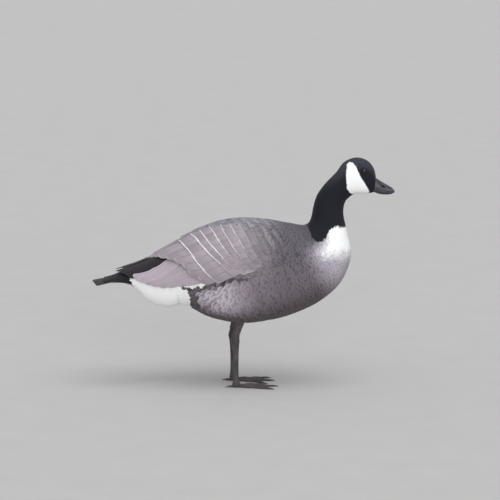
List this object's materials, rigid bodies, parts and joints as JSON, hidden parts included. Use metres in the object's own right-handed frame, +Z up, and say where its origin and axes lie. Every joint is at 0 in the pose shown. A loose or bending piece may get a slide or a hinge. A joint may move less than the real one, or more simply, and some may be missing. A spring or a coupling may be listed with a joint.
{
  "type": "canada goose",
  "caption": "Still life-size Canada goose standing on both webbed feet, neck half raised, wings folded.",
  "frame": {"origin": "on the ground under the middle of the bird's length and width", "axes": "+X forward to the bill, +Y to the bird's left, +Z up"},
  "size_m": [0.636, 0.1912, 0.482],
  "materials": {
    "body_plumage": "soft grey-brown contour feathers with pale tips, white breast and vent",
    "black_plumage": "short velvety black feathers with a white cheek patch",
    "wing_feathers": "brown wing feathers with pale tips, black flight feathers",
    "flank_plumage": "grey-brown flank feathers with pale bars, dark at the rear edge",
    "tail_feathers": "stiff black tail feathers with a slight sheen",
    "bill_horn": "smooth black horn, satin",
    "leg_skin": "dark scaled skin, slightly glossy",
    "eye": "wet dark brown eye"
  },
  "bodies": {
    "root": {"torso": "body_plumage", "tail": "tail_feathers", "neck_lower": "black_plumage", "neck_upper": "black_plumage", "head": "black_plumage", "bill_upper": "bill_horn", "bill_lower": "bill_horn", "eye_right": "eye", "eye_left": "eye", "wing_right": "wing_feathers", "wing_left": "wing_feathers", "thigh_right": "flank_plumage", "thigh_left": "flank_plumage", "leg_right": "leg_skin", "leg_left": "leg_skin", "foot_right": "leg_skin", "foot_left": "leg_skin"}
  },
  "joints": []
}
